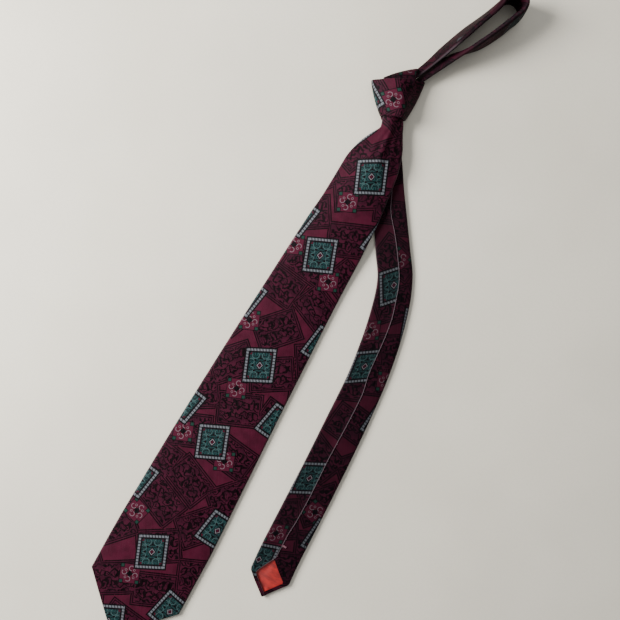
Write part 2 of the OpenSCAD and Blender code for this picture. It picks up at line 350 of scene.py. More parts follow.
def motif(colour):
    """A small crimson square with four scrolls round a dark cross, and green corners."""
    x, y = pattern_xy("motif")
    ax, ay = abs(x), abs(y)
    half_x, half_y = MOTIF_HALF
    edge = box_distance(x, y, half_x, half_y)
    from_middle = length_of(x, y)
    corner = larger(larger(half_x - 2.7 - ax, half_y - 2.7 - ay), edge + 0.1)
    cross = smaller(box_distance(x, y, 1.0, 3.3), box_distance(x, y, 3.3, 1.0))
    strokes = abs(length_of(ax - 3.7, ay - 3.4) - 0.9) - 0.22
    centre, cut = (1.2, 4.9), (0.9, -0.3)
    for _ in range(4):
        strokes = smaller(strokes, arc(x, y, centre, 2.1, 0.34, cut, 0.9))
        centre = (-centre[1], centre[0])
        cut = (-cut[1], cut[0])
    colour = painted(colour, [
        (inside(edge - 0.6), INK),
        (inside(edge), BURGUNDY_BRIGHT),
        (inside(from_middle - 6.0, 1.2), CRIMSON),
        (inside(corner - 0.6), INK),
        (inside(corner), GREEN),
        (inside(smaller(cross, from_middle - 2.2)), INK),
        (inside(strokes, 0.16), ROSE)])
    return colour, edge


def ground():
    """Plain burgundy under overlapping tiles, outlined and filled with black scrollwork."""
    x, y = pattern_xy("tile")
    cloth_x, cloth_y = pattern_xy("cloth")
    place = vector_of(cloth_x * 0.01, cloth_y * 0.01)
    wander = noise(place, 9.0)
    drift = noise(place, 13.0)
    edge = box_distance(x, y, *TILE_HALF)
    in_tile = inside(edge)
    plain = blended(soft(wander, 0.35, 0.65), BURGUNDY, BURGUNDY_BRIGHT)
    field = blended(soft(drift, 0.40, 0.62), TILE_DEEP, TILE_LIGHT)
    bent_x = x + (wander - 0.5) * 13.0
    bent_y = y + (drift - 0.5) * 13.0
    scroll = curls(bent_x, bent_y, pitch_x=10.8, pitch_y=9.3, turns_apart=3.3,
                   half_width=0.80, reach=4.6)
    scroll = inside(scroll, 0.2) * inside(edge + 3.6)
    rule = larger(line(edge + 0.55, 0.55), line(edge + 2.5, 0.45))
    colour = blended(in_tile, plain, field)
    return blended(larger(scroll, rule) * in_tile, colour, BLACK_RED), in_tile


# ---- Materials
def silk_material(name, shade=0.0):
    """Burgundy jacquard: pattern, rib and yarn relief, slubs, and a pale painted highlight, partly wear,
    along folds and seams.
    shade mixes painted shade into the colour and makes the cloth rougher, so it reflects less: a darker
    copy of the same silk."""
    material, shader = new_material(name)
    colour, in_tile = ground()
    colour, motif_edge = motif(colour)
    colour, frame_edge = medallion(colour)
    cloth_x, cloth_y = pattern_xy("cloth")
    cos, sin = math.cos(GRAIN), math.sin(GRAIN)
    across = cloth_x * cos + cloth_y * sin
    along = cloth_y * cos - cloth_x * sin
    slub = noise(vector_of(across * 0.9, along * 0.055), 1.0, 3.0, 0.6)
    rib = waves(across, RIB_PITCH)
    pick = sine(along * (FULL_TURN / PICK_PITCH) + rib * 0.8)
    worn = Num(add_node("Attribute", attribute_name="worn").outputs["Fac"])
    # The last two layers are painted light: painted shade, as strong as shade, and a pale painted
    # highlight, partly wear, along folds and seams.
    colour = painted(colour, [
        (soft(slub, 0.30, 0.80) * 0.14, SLUB_LIGHT),
        (soft(rib, -0.2, 1.0) * 0.16, RIB_DEEP),
        (shade, INK),
        (worn, HIGHLIGHT_WEAR_TINT)])
    woven = inside(frame_edge) * 0.8 + inside(motif_edge) * 0.6
    relief = rib * 0.42 + pick * 0.22 + slub * 1.1 + smaller(woven, 1.0) * 0.8 + in_tile * 0.35
    bump(shader, relief, strength=0.55, depth=0.16)
    feed_all(shader, {"Base Color": colour, "Roughness": slub * 0.14 + (0.40 + 0.30 * shade),
                      "Specular IOR Level": 0.035, "Anisotropic": 0.35, "Sheen Weight": 0.007,
                      "Sheen Roughness": 0.42, "Sheen Tint": SHEEN_TINT})
    return material


def satin_material(name, deep, light):
    """A plain satin: fine floats along one way, a little mottling, a soft gloss."""
    material, shader = new_material(name)
    x, y = pattern_xy("cloth")
    floats = sine(x * (FULL_TURN / 0.5) + waves(y, 0.9) * 0.7)
    mottle = noise(vector_of(x * 0.08, y * 0.25), 1.0, 3.0, 0.6)
    colour = blended(soft(mottle, 0.30, 0.70), deep, light)
    between_floats = tuple(0.55 * v for v in deep)
    colour = blended(soft(floats, -0.1, 1.0) * 0.18, colour, between_floats)
    bump(shader, floats * 0.35 + mottle * 1.2, strength=0.45, depth=0.12)
    feed_all(shader, {"Base Color": colour, "Roughness": 0.40, "Sheen Weight": 0.25,
                      "Anisotropic": 0.45})
    return material


def wool_material():
    """The interlining: a plain open weave, brushed until it is fuzzy."""
    material, shader = new_material("brushed_wool")
    x, y = pattern_xy("cloth")
    weave = waves(x, 1.1) * waves(y, 1.1)
    fuzz = noise(vector_of(x * 0.6, y * 0.6), 1.0, 5.0, 0.7)
    colour = blended(soft(fuzz, 0.30, 0.72), (0.56, 0.51, 0.40), (0.76, 0.72, 0.60))
    bump(shader, weave * 0.4 + fuzz * 1.6, strength=0.7, depth=0.25)
    feed_all(shader, {"Base Color": colour, "Roughness": 0.9, "Sheen Weight": 0.5})
    return material


def thread_material(name, deep, light):
    """Twisted thread: slanted plies along its own length."""
    material, shader = new_material(name)
    x, y = pattern_xy("cloth")
    ply = waves(y + x * 0.9, 0.55)
    bump(shader, ply, strength=0.8, depth=0.1)
    feed_all(shader, {"Base Color": blended(soft(ply, -0.6, 0.8), deep, light),
                      "Roughness": 0.5, "Sheen Weight": 0.3})
    return material


def floor_material():
    """A pale, even floor with a fine grain and a faint cloudiness."""
    material, shader = new_material("pale_floor")
    place = add_node("NewGeometry").outputs["Position"]
    grain = noise(place, 420.0, 3.0, 0.6)
    cloud = noise(place, 6.0, 3.0, 0.55)
    colour = blended(soft(cloud, 0.30, 0.70), (0.625, 0.582, 0.478), (0.680, 0.636, 0.528))
    colour = blended(soft(grain, 0.35, 0.75) * 0.22, colour, (0.56, 0.525, 0.44))
    bump(shader, grain, strength=0.12, depth=0.4)
    feed_all(shader, {"Base Color": colour, "Roughness": 0.82})
    return material


# ---- Mesh tools
def smooth_curve(x, known_x, known_y):
    """A smooth curve through given points, with no overshoot past a flat stretch."""
    known_x, known_y = np.asarray(known_x, float), np.asarray(known_y, float)
    step = np.diff(known_x)
    slope = np.diff(known_y) / step
    before, after = slope[:-1], slope[1:]
    tangent = np.empty_like(known_y)
    tangent[0], tangent[-1] = slope[0], slope[-1]
    tangent[1:-1] = np.where(before * after > 0, 2 * before * after / (before + after + 1e-12), 0.0)
    i = np.clip(np.searchsorted(known_x, x) - 1, 0, len(step) - 1)
    t = np.clip((x - known_x[i]) / step[i], 0.0, 1.0)
    h = step[i]
    return ((2 * t**3 - 3 * t**2 + 1) * known_y[i] + (t**3 - 2 * t**2 + t) * h * tangent[i]
            + (-2 * t**3 + 3 * t**2) * known_y[i + 1] + (t**3 - t**2) * h * tangent[i + 1])


def ease(value, low, high):
    """0 under low, 1 over high, and smooth between."""
    t = np.clip((np.asarray(value, float) - low) / (high - low), 0.0, 1.0)
    return t * t * (3.0 - 2.0 * t)


def rows_between(start, end, pitch):
    return np.linspace(start, end, int(round(abs(end - start) / pitch)) + 1)


def ripple(x, y, size):
    """Slow, small unevenness of cloth that has been used and folded."""
    return size * (np.sin(0.061 * y + 0.05 * x) + 0.7 * np.sin(0.113 * y - 0.08 * x + 1.3)
                   + 0.5 * np.sin(0.19 * y + 0.13 * x + 0.4))


def distance_along(points):
    """How far each point is along the line through them all. points may hold many lines."""
    steps = np.linalg.norm(np.diff(points, axis=-2), axis=-1)
    return np.concatenate([np.zeros_like(steps[..., :1]), np.cumsum(steps, axis=-1)], axis=-1)


def unit(vectors):
    return vectors / np.linalg.norm(vectors, axis=1)[:, None]


def smooth_rows(at, known, points):
    return np.stack([smooth_curve(at, known, column) for column in points.T], 1)


def along_line(points, pitch):
    """Even rows along a line drawn through stations: each row's values, and how far along it is."""
    points = np.asarray(points, float)
    travel = distance_along(points[:, :2])
    at = rows_between(0.0, travel[-1], pitch)
    return smooth_rows(at, travel, points), at


def through_points(points, count):
    """A smooth run of count points through given ones."""
    points = np.asarray(points, float)
    at = np.linspace(0, len(points) - 1, count)
    return smooth_rows(at, np.arange(len(points)), points)


def across_rows(axis, side, offset, *height):
    """Points at offsets along each row's side vector: in plan, or in space if given heights."""
    plan = [axis[:, None, i] + offset * side[:, None, i] for i in (0, 1)]
    return np.dstack([*plan, *height])


FAR_OFF = 900.0                         # a pattern coordinate that is outside every figure
TILE_STEP = (41.0, 37.0)
TILE_STAGGER = 19.0
TILE_WANDER = 5.0
TILE_TURNS = (-24.0, 22.0, 47.0, -8.0, 31.0)


def nearest_place(faces_uv, places, half):
    """Each face's pattern coordinates, seen from the placed figure that it is nearest to.
    A place is (x, y, the turn of the figure's upright sides, the turn of its level sides)."""
    centres = faces_uv.mean(axis=1)
    best = np.full(len(centres), np.inf)
    local = np.full(faces_uv.shape, FAR_OFF)
    for x, y, upright, level in places:
        upright, level = math.radians(upright), math.radians(level)
        level_side = [math.cos(level), math.sin(level)]
        upright_side = [-math.sin(upright), math.cos(upright)]
        unturn = np.linalg.inv(np.array([level_side, upright_side]))
        seen = (faces_uv - (x, y)) @ unturn
        middle = np.abs((centres - (x, y)) @ unturn)
        far = np.maximum(middle[:, 0] / half[0], middle[:, 1] / half[1])
        nearer = far < best
        best[nearer] = far[nearer]
        local[nearer] = seen[nearer]
    return local


def write_layer(mesh, name, faces_uv):
    layer = mesh.uv_layers.new(name=name)
    values = (faces_uv.reshape(-1, 2) * UV_MM).ravel()
    layer.data.foreach_set("uv", values.astype(np.float32))


def tiles_over(faces_uv):
    """Places for the ground's dark tiles: a loose brick layout, each turned its own way."""
    low, high = faces_uv.reshape(-1, 2).min(0), faces_uv.reshape(-1, 2).max(0)
    columns, rows = [range(int(low[i] // TILE_STEP[i]) - 1, int(high[i] // TILE_STEP[i]) + 2)
                     for i in (0, 1)]
    places = []
    for j in rows:
        for i in columns:
            turn = TILE_TURNS[(2 * i + 3 * j) % len(TILE_TURNS)]
            x = i * TILE_STEP[0] + (j % 2) * TILE_STAGGER + TILE_WANDER * math.sin(2.1 * j + i)
            y = j * TILE_STEP[1] + TILE_WANDER * math.cos(1.7 * i + j)
            places.append((x, y, turn, turn))
    return places


def sheet_mesh(name, points, first_uv, second_uv, medallions=(), motifs=(), worn=None,
               wrap=False, flip=False):
    """A grid of quads as an object. points is rows x columns x 3. The two uv arrays give the
    cloth's coordinates at the two sides of each column of faces, so that a column may start a
    new stretch of cloth."""
    rows, columns = points.shape[:2]
    across = columns if wrap else columns - 1
    row, column = np.meshgrid(np.arange(rows - 1), np.arange(across), indexing="ij")
    here, right = row * columns + column, row * columns + (column + 1) % columns
    corners = np.stack([here, right, right + columns, here + columns], -1)
    uv = np.stack([first_uv[:-1], second_uv[:-1], second_uv[1:], first_uv[1:]], axis=2)
    corners, uv = corners.reshape(-1, 4), uv.reshape(-1, 4, 2)
    if flip:
        corners, uv = corners[:, ::-1], uv[:, ::-1]
    mesh = bpy.data.meshes.new(name)
    mesh.from_pydata((points.reshape(-1, 3) * MM).tolist(), [], corners.tolist())
    write_layer(mesh, "cloth", uv)
    write_layer(mesh, "medallion", nearest_place(uv, medallions, MEDALLION_HALF))
    write_layer(mesh, "motif", nearest_place(uv, motifs, MOTIF_HALF))
    write_layer(mesh, "tile", nearest_place(uv, tiles_over(uv), TILE_HALF))
    # how strongly the pale painted highlight, partly wear, shows at each point: read by the silk
    # material
    rubbed = mesh.attributes.new("worn", "FLOAT", "POINT")
    values = np.zeros(rows * columns) if worn is None else worn.ravel()
    rubbed.data.foreach_set("value", values.astype(np.float32))
    mesh.shade_smooth()
    return placed(name, mesh)


def thicken(piece, thickness, offset=-1.0):
    """Gives a sheet its thickness, with the hem's rim filled, as plain mesh."""
    modifier = piece.modifiers.new("cloth_thickness", "SOLIDIFY")
    modifier.thickness = thickness * MM
    modifier.offset = offset
    modifier.use_rim = True
    graph = bpy.context.evaluated_depsgraph_get()
    mesh = bpy.data.meshes.new_from_object(piece.evaluated_get(graph), depsgraph=graph,
                                           preserve_all_data_layers=True)
    piece.modifiers.clear()
    piece.data = mesh
    mesh.shade_smooth()


def finish_piece(piece, material, body, replaces):
    """Gives a piece its material and its body, and hides the parts it replaces. body is a name,
    or for cloth that crosses a joint (body before, body after, where it starts to turn, where
    it ends), which is not used: such a piece only has its transform baked."""
    piece.data.materials.clear()
    piece.data.materials.append(material)
    if isinstance(body, str):
        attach(piece, body)
    else:
        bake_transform(piece)
    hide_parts(*replaces)


# ---- A folded envelope: one sheet of silk folded to the back along both edges
FLAP_COLUMNS, ARC_COLUMNS, WIDE_COLUMNS = 13, 7, 46
FIRST_WIDE = FLAP_COLUMNS + ARC_COLUMNS
LAST_WIDE = FIRST_WIDE + WIDE_COLUMNS - 1
OTHER_HALF = 200.0                      # right of a back seam the cloth is another part of the pattern
CLOTH = 0.4                             # thickness of the silk


def envelope(name, axis, side, left, right, seams, wide_z, flap_z, edge_radius, shown,
             medallions, motifs, rubbed, seam_step=0.0):
    """One value a row for axis, side, left, right and each of the two seams, the flaps' ends.
    Offsets run along side from the axis. wide_z and flap_z take (row, offset) arrays. The side
    named by shown, wide or flap, carries the pattern as placed, and the rest of the cloth runs on
    from it over the folds. rubbed is how strong a pale painted highlight, partly wear, is (at the
    seam, along the folds)."""
    rows = np.arange(len(axis))[:, None]
    radius = np.minimum(edge_radius, 0.30 * (right - left))
    inner_left, inner_right = left + radius, right - radius
    seam_left = np.clip(seams[0], inner_left + 0.2, inner_right)[:, None]
    seam_right = np.clip(seams[1], inner_left, inner_right - 0.2)[:, None]
    inner_left, inner_right, radius = inner_left[:, None], inner_right[:, None], radius[:, None]
    flap_share = np.linspace(0.0, 1.0, FLAP_COLUMNS) ** 1.7
    angle = np.linspace(0.0, math.pi, ARC_COLUMNS + 2)[1:-1]
    flap_left = seam_left + (inner_left - seam_left) * flap_share
    flap_right = seam_right + (inner_right - seam_right) * flap_share[::-1]
    wide = inner_left + (inner_right - inner_left) * np.linspace(0.0, 1.0, WIDE_COLUMNS)

    def fold(inner, sign, turned):
        """Offsets and heights round a fold, from the flap to the wide face."""
        from_z, to_z = flap_z(rows, inner), wide_z(rows, inner)
        offset = inner + sign * radius * np.sin(turned)
        return offset, 0.5 * (from_z + to_z) - 0.5 * (to_z - from_z) * np.cos(turned)

    left_fold, left_z = fold(inner_left, -1.0, angle)
    right_fold, right_z = fold(inner_right, 1.0, angle[::-1])
    offset = np.hstack([flap_left, left_fold, wide, right_fold, flap_right])
    step = seam_step * (1.0 - ease(np.abs(flap_left - seam_left), 0.0, 5.0))
    z = np.hstack([flap_z(rows, flap_left) + step, left_z, wide_z(rows, wide), right_z,
                   flap_z(rows, flap_right)])
    points = across_rows(axis, side, offset, z)
    total = distance_along(points)

    def laid_out(column, sign):
        """Offsets with the cloth unrolled flat from one column, on the wide face (sign 1) or on
        the back, where it runs the other way (sign -1)."""
        return offset[:, column, None] + sign * (total - total[:, column, None])

    on_left, on_right = offset.copy(), offset.copy()
    if shown == "wide":
        on_left[:, :FIRST_WIDE] = laid_out(FIRST_WIDE, 1.0)[:, :FIRST_WIDE]
        on_left[:, LAST_WIDE:] = laid_out(LAST_WIDE, 1.0)[:, LAST_WIDE:]
        on_right, other_half = on_left, 0.0
    else:
        last_flap, next_flap = FLAP_COLUMNS - 1, offset.shape[1] - FLAP_COLUMNS
        on_left[:, last_flap:] = laid_out(last_flap, -1.0)[:, last_flap:]
        on_right[:, :next_flap] = laid_out(next_flap, -1.0)[:, :next_flap]
        other_half = OTHER_HALF
    left_uv = across_rows(axis, side, on_left)
    right_uv = across_rows(axis, side, on_right) + (other_half, 0.0)
    is_left = (np.arange(offset.shape[1] - 1) < (FIRST_WIDE + LAST_WIDE) // 2)[None, :, None]
    first = np.where(is_left, left_uv[:, :-1], right_uv[:, :-1])
    second = np.where(is_left, left_uv[:, 1:], right_uv[:, 1:])

    # A pale painted highlight, partly wear: along the seam's edge, and round both folds where they
    # crest.
    worn = np.zeros(offset.shape)
    worn[:, :2] = rubbed[0]
    for start in (FLAP_COLUMNS, LAST_WIDE + 1):
        worn[:, start:start + ARC_COLUMNS] = rubbed[1] * np.sin(angle) ** 3
    piece = sheet_mesh(name, points, first, second, medallions, motifs, worn, flip=shown == "wide")
    thicken(piece, CLOTH)
    return piece


# ---- Front blade
# distance below the knot, left edge, right edge
BLADE_EDGES = np.array([
    (-16, -15.5, 1.5), (-8, -12.5, 5), (-2.3, -9.6, 8.8), (3.1, -8.4, 12.2), (8, -7.2, 14.4),
    (13, -5.9, 17.0), (16.5, -7.4, 18.8), (20, -9.9, 20.8), (24, -12.2, 22.6), (30, -15.2, 24.9),
    (36, -17.4, 26.6), (43, -19.4, 28.4), (50, -20.6, 29.5), (65, -21.3, 31.3), (90, -22.6, 34),
    (112, -25, 35), (130, -26.5, 35.5), (150, -28, 35.7), (172, -29.5, 36), (225, -33.4, 37.5),
    (290, -37.6, 39.6), (350, -41, 42), (400, -43.2, 44), (432, -44.6, 45), (455, -45, 45),
    (486, -45.2, 45.0)])
# distance below the knot, then heights: left edge's underside, right edge's underside, ridge's top
BLADE_RISE = np.array([
    (-16, 8.0, 8.0, 13.4), (-4, 6.5, 7.2, 13.9), (3, 5.2, 6.4, 14.6), (9, 4.6, 6.0, 15.2),
    (14, 4.2, 5.8, 15.6), (20, 3.2, 6.3, 16.2), (38, 1.8, 6.7, 15.8), (60, 0.9, 6.0, 13.6),
    (80, 0.6, 5.4, 11.6), (96, 0.5, 4.8, 10.2), (115, 0.4, 3.8, 8.7), (135, 0.35, 1.9, 7.3),
    (160, 0.3, 0.6, 6.3), (220, 0.3, 0.4, 5.4), (320, 0.25, 0.3, 5.2), (430, 0.2, 0.2, 5.0),
    (490, 0.1, 0.1, 4.6), (531.5, 0.05, 0.05, 2.6)])
BLADE_TOP, BLADE_CORNER, BLADE_TIP = -16.0, 486.0, 531.5
BLADE_SEAM_END = 446.0
BLADE_HEM = 7.0
BLADE_LAP = 0.15
BLADE_BEND = ("knot", "front_blade", (0, -2, 12), (0, -22, 12))
# each placed figure: where it is, then how far its upright and its level sides are turned
BLADE_MEDALLIONS = [
    (8.6, -57.5, 22, 27), (1.8, -140, 19, 23), (1.3, -253, 21, 26), (-3.1, -334, 20, 24),
    (-3.5, -447, 21, 26), (45.3, -103.1, -9, -5), (-26.5, -26.0, -27, -27), (43.4, -210.7, -9, -5),
    (41.0, -292, -12, -8), (39.4, -402.5, -10, -6), (36.6, -487.3, -14, -14), (-33.3, -118, -10, -8),
    (-40.3, -204, -10, -8), (-43, -315, -12, -8), (-48, -394.6, -10, -6), (-8, -522, 21, 26)]
BLADE_MOTIFS = [
    (0.7, -86.6, 20, 22), (19.5, -157.2, 20, 22), (-23.8, -142.4, 20, 22), (-26.3, -221.4, 20, 22),
    (-7.0, -281.1, 20, 22), (-31.0, -338.0, 20, 22), (14.8, -344.1, 20, 22),
    (-33.3, -421.1, -16, -16), (-11.7, -474.0, 20, 22)]


def blade_edges(below):
    """Left and right edge of the blade, which ends in a point."""
    past = np.clip((below - BLADE_CORNER) / (BLADE_TIP - BLADE_CORNER), 0.0, 1.0)
    width = 1.0 - 0.985 * past
    return [smooth_curve(below, BLADE_EDGES[:, 0], BLADE_EDGES[:, i]) * width for i in (1, 2)]


def blade_rise(below):
    """Heights of the two edges' undersides and of the ridge."""
    return [smooth_curve(below, BLADE_RISE[:, 0], BLADE_RISE[:, i]) for i in (1, 2, 3)]


def blade_height(below, x):
    """Height of the blade's top face. It leaves the knot as a ridge and settles flat."""
    left, right = blade_edges(below)
    left_under, right_under, ridge = blade_rise(below)
    thick = 3.3 - 1.0 * ease(below, 500, BLADE_TIP)
    crest_share = smooth_curve(below, [BLADE_TOP, 12, 26, 45, 95, 200, 531],
                               [0.45, 0.42, 0.50, 0.57, 0.60, 0.55, 0.5])
    crest = left + (right - left) * crest_share
    stations = [BLADE_TOP, 10, 30, 90, 160, 531]
    sharp_left = smooth_curve(below, stations, [2.3, 2.3, 1.8, 2.1, 3.4, 3.6])
    sharp_right = smooth_curve(below, stations, [1.6, 1.35, 1.25, 1.5, 3.2, 3.6])
    to_left = np.clip((crest - x) / np.maximum(crest - left, 0.1), 0.0, 1.0)
    to_right = np.clip((x - crest) / np.maximum(right - crest, 0.1), 0.0, 1.0)
    top = np.where(x > crest, ridge - (ridge - right_under - thick) * to_right ** sharp_right,
                   ridge - (ridge - left_under - thick) * to_left ** sharp_left)
    from_dimple = (x - 7.5 - 0.22 * (below - 10)) / 2.8
    dimple = 0.9 * np.exp(-from_dimple ** 2) * ease(below, 2, 12) * (1 - ease(below, 30, 80))
    fan = (x - 4.0) / (0.6 + 0.045 * np.maximum(below, 0.0))
    pleats = 0.34 * np.sin(fan * 1.5 + 0.8 * np.sin(0.09 * below))
    pleats = pleats * ease(below, 6, 18) * (1 - ease(below, 22, 66))
    pleats = pleats * (to_left < 0.97) * (to_right < 0.97)
    settle = ripple(x, below, 0.16) * ease(below, 90, 160) * (1 - ease(to_left + to_right, 0.7, 1.0))
    return top - dimple + pleats + settle


def blade_underside(below, x):
    """Height of the blade's back, which lies over the keeper and the label."""
    left, right = blade_edges(below)
    left_under, right_under, _ = blade_rise(below)
    share = np.clip((x - left) / np.maximum(right - left, 0.1), 0.0, 1.0)
    over_keeper = ease(below, 336, 347) * (1.0 - ease(below, 408, 424)) * (1.0 - ease(np.abs(x), 27, 38))
    low = left_under + (right_under - left_under) * share + 1.15 * over_keeper
    close = blade_height(below, x) - (4.0 - 1.6 * ease(below, 490, BLADE_TIP))
    lifted = 1.0 - ease(below, 120, 240)
    return low + (np.maximum(close, low) - low) * lifted


def blade_line(below):
    """The straight line that the blade's rows are measured from, and their sides."""
    return np.stack([np.zeros_like(below), -below], 1), np.tile((1.0, 0.0), (len(below), 1))


def make_blade(silk):
    below = np.concatenate([rows_between(BLADE_TOP, 40.0, 1.8),
                            rows_between(40.0, BLADE_CORNER, 2.6)[1:],
                            rows_between(BLADE_CORNER, BLADE_TIP, 1.9)[1:]])
    left, right = blade_edges(below)
    axis, side = blade_line(below)
    opened = ease(below, BLADE_SEAM_END, BLADE_CORNER + 1.0)
    middle = 0.5 * (left + right)
    seams = (middle + (left + BLADE_HEM - middle) * opened - BLADE_LAP,
             middle + (right - BLADE_HEM - middle) * opened + BLADE_LAP)
    piece = envelope("blade_silk", axis, side, left, right, seams,
                     lambda row, offset: blade_height(below[row], offset),
                     lambda row, offset: blade_underside(below[row], offset),
                     edge_radius=1.9, shown="wide", medallions=BLADE_MEDALLIONS,
                     motifs=BLADE_MOTIFS, rubbed=(0.0, 0.20))
    finish_piece(piece, silk, BLADE_BEND, ("blade_shell", "knot_tucked_blade"))


# ---- Tail
# centre line, width and underside
TAIL_STATIONS = np.array([
    (-2.3, 3.8, 10.5, 3.9), (2.4, -7.8, 10.5, 3.9), (7.1, -19.4, 13, 3.4), (14.5, -33, 23, 2.4),
    (28, -57.3, 27, 0.9), (42.2, -80.5, 30, 0.2), (57, -103.5, 31.5, 0.1), (71.3, -125.5, 32, 0.05),
    (79.5, -147.5, 33.2, 0.05), (88, -185.5, 34.6, 0.05), (93.2, -225.5, 35.5, 0.05),
    (95.6, -269, 37, 0.05), (97.3, -309, 37.4, 0.05), (98.4, -350, 38, 0.05),
    (99.3, -391.5, 38, 0.05), (101, -417.5, 38, 0.05), (103.1, -435.5, 38, 0.05)])
# the seam's line down the back of the tail
TAIL_SEAM = np.array([
    (2.4, -7.8), (7.1, -19.4), (15.5, -33.5), (29, -57), (37, -74), (51, -92), (62, -107),
    (74.5, -127), (79.7, -142), (85.5, -163), (87.6, -180), (90, -211), (94.2, -235), (95, -269),
    (95, -294), (96, -321), (96.7, -340), (96.6, -359), (95.6, -376), (96, -400)])
TAIL_OPENS, TAIL_CORNER = -398.0, -417.0
TAIL_POINT = 18.5                       # how long the tail's pointed end is
TAIL_HEM, TAIL_LAP = 5.2, 1.6
TAIL_THICK = 3.3
TAIL_BEND = ("tail_strap", "tail", (2.8, -9, 5), (11, -29, 5))
TAIL_MEDALLIONS = [
    (73.1, -131.4, 30, 47), (85.0, -208.5, 7, 34), (89.6, -321.0, 5, 27), (84.6, -407.5, 4, 18),
    (76.0, -60.0, 30, 40), (OTHER_HALF + 123.5, -246, -6, -2), (OTHER_HALF + 126.5, -364, -6, -2),
    (OTHER_HALF + 110.2, -154.5, 18, 18)]
TAIL_MOTIFS = [
    (86.8, -379.3, 6, 20), (74.0, -178.0, 20, 34), (OTHER_HALF + 108.8, -345.6, -20, -16),
    (OTHER_HALF + 109.5, -211.5, 20, 20), (OTHER_HALF + 65.5, -109.0, -20, -16)]


class TailShape:
    """The tail's rows: centre line, sides, edges, seam and heights."""

    def __init__(self):
        rows, self.travel = along_line(TAIL_STATIONS, 2.2)
        self.axis = rows[:, :2]
        heading = unit(np.gradient(self.axis, axis=0))
        self.side = np.stack([-heading[:, 1], heading[:, 0]], 1)
        self.half, self.under = 0.5 * rows[:, 2], rows[:, 3]
        self.past = np.clip((self.travel - self.travel[-1] + TAIL_POINT) / TAIL_POINT, 0.0, 1.0)
        self.right = self.half * (1.0 - 0.94 * self.past)
        self.left = -self.right
        seam = TAIL_SEAM[::-1]
        seam_x = smooth_curve(self.axis[:, 1], seam[:, 1], seam[:, 0])
        self.seam = (seam_x - self.axis[:, 0]) * self.side[:, 0]
        self.opened = np.clip((TAIL_OPENS - self.axis[:, 1]) / (TAIL_OPENS - TAIL_CORNER), 0.0, 1.0)

    def back(self, row, offset):
        """Height of the tail's back, which faces up."""
        share = np.clip(np.abs(offset) / np.maximum(self.half[row], 1.0), 0, 1)
        return (self.under[row] + TAIL_THICK - 0.8 * self.past[row] + 0.55 * (1.0 - share ** 2.4)
                + ripple(offset, self.travel[row], 0.10) * ease(self.travel[row], 60, 120))


def make_tail(tail, silk):
    lap = TAIL_LAP * (1.0 - tail.opened)
    seams = (tail.seam + (tail.left + TAIL_HEM - tail.seam) * tail.opened + lap,
             tail.seam + (tail.right - TAIL_HEM - tail.seam) * tail.opened - lap)
    piece = envelope("tail_silk", tail.axis, tail.side, tail.left, tail.right, seams,
                     lambda row, offset: tail.under[row] + 0.0 * offset, tail.back, edge_radius=1.6,
                     shown="flap", medallions=TAIL_MEDALLIONS, motifs=TAIL_MOTIFS,
                     rubbed=(0.46, 0.22), seam_step=0.6)
    finish_piece(piece, silk, TAIL_BEND, ("tail_shell", "tail_strap"))


# ---- Linings and tippings: plain sheets inside an envelope
WOOL = 0.9                              # thickness of the interlining
SATIN = 0.3                             # thickness of the tippings and the label


def inner_sheet(name, axis, side, left, right, height, thickness, columns=9):
    """A sheet across an envelope's inside: height takes (row, offset)."""
    rows = np.arange(len(axis))[:, None]
    offset = left[:, None] + (right - left)[:, None] * np.linspace(0.0, 1.0, columns)
    points = across_rows(axis, side, offset, height(rows, offset))
    flat = points[:, :, :2]
    piece = sheet_mesh(name, points, flat[:, :-1], flat[:, 1:], flip=True)
    thicken(piece, thickness, offset=0.0)
    return piece


def inside_blade(below, share):
    """Heights a share of the way from the blade's underside to its top face."""
    def height(row, offset):
        low, high = blade_underside(below[row], offset), blade_height(below[row], offset)
        return (1.0 - share) * low + share * high
    return height


def make_blade_inside(wool, coral):
    below = np.concatenate([rows_between(14.0, BLADE_CORNER, 6.0),
                            rows_between(BLADE_CORNER, 524.0, 4.0)[1:]])
    left, right = blade_edges(below)
    axis, side = blade_line(below)
    inset = np.minimum(2.6, 0.3 * (right - left))
    lining = inner_sheet("blade_wool", axis, side, left + inset, right - inset,
                         inside_blade(below, 0.52), WOOL)
    finish_piece(lining, wool, BLADE_BEND, ("blade_interlining",))
    tipped = below >= 428.0
    inset = inset[tipped] - 0.6
    tipping = inner_sheet("blade_satin", axis[tipped], side[tipped], left[tipped] + inset,
                          right[tipped] - inset, inside_blade(below[tipped], 0.20), SATIN)
    finish_piece(tipping, coral, "front_blade", ("blade_tipping",))


def make_tail_inside(tail, wool, coral):
    inset = np.minimum(2.3, 0.3 * (tail.right - tail.left))
    keep = slice(2, -4)
    lining = inner_sheet("tail_wool", tail.axis[keep], tail.side[keep], (tail.left + inset)[keep],
                         (tail.right - inset)[keep],
                         lambda row, offset: tail.under[keep][row] + 1.15 + 0.0 * offset, WOOL)
    finish_piece(lining, wool, TAIL_BEND, ("tail_interlining",))
    tipped = tail.axis[:, 1] <= -372.0

    def puckered(row, offset):
        return tail.under[tipped][row] + 2.15 + 0.35 * np.sin(0.9 * offset + 0.2) * np.cos(0.23 * row)

    tipping = inner_sheet("tail_satin", tail.axis[tipped], tail.side[tipped],
                          tail.left[tipped] + 1.2, tail.right[tipped] - 1.2, puckered, SATIN, columns=17)
    finish_piece(tipping, coral, "tail", ("tail_tipping",))


# ---- Folded strips: a closed band between two rims
STRIP_FACE, STRIP_ARC = 22, 7


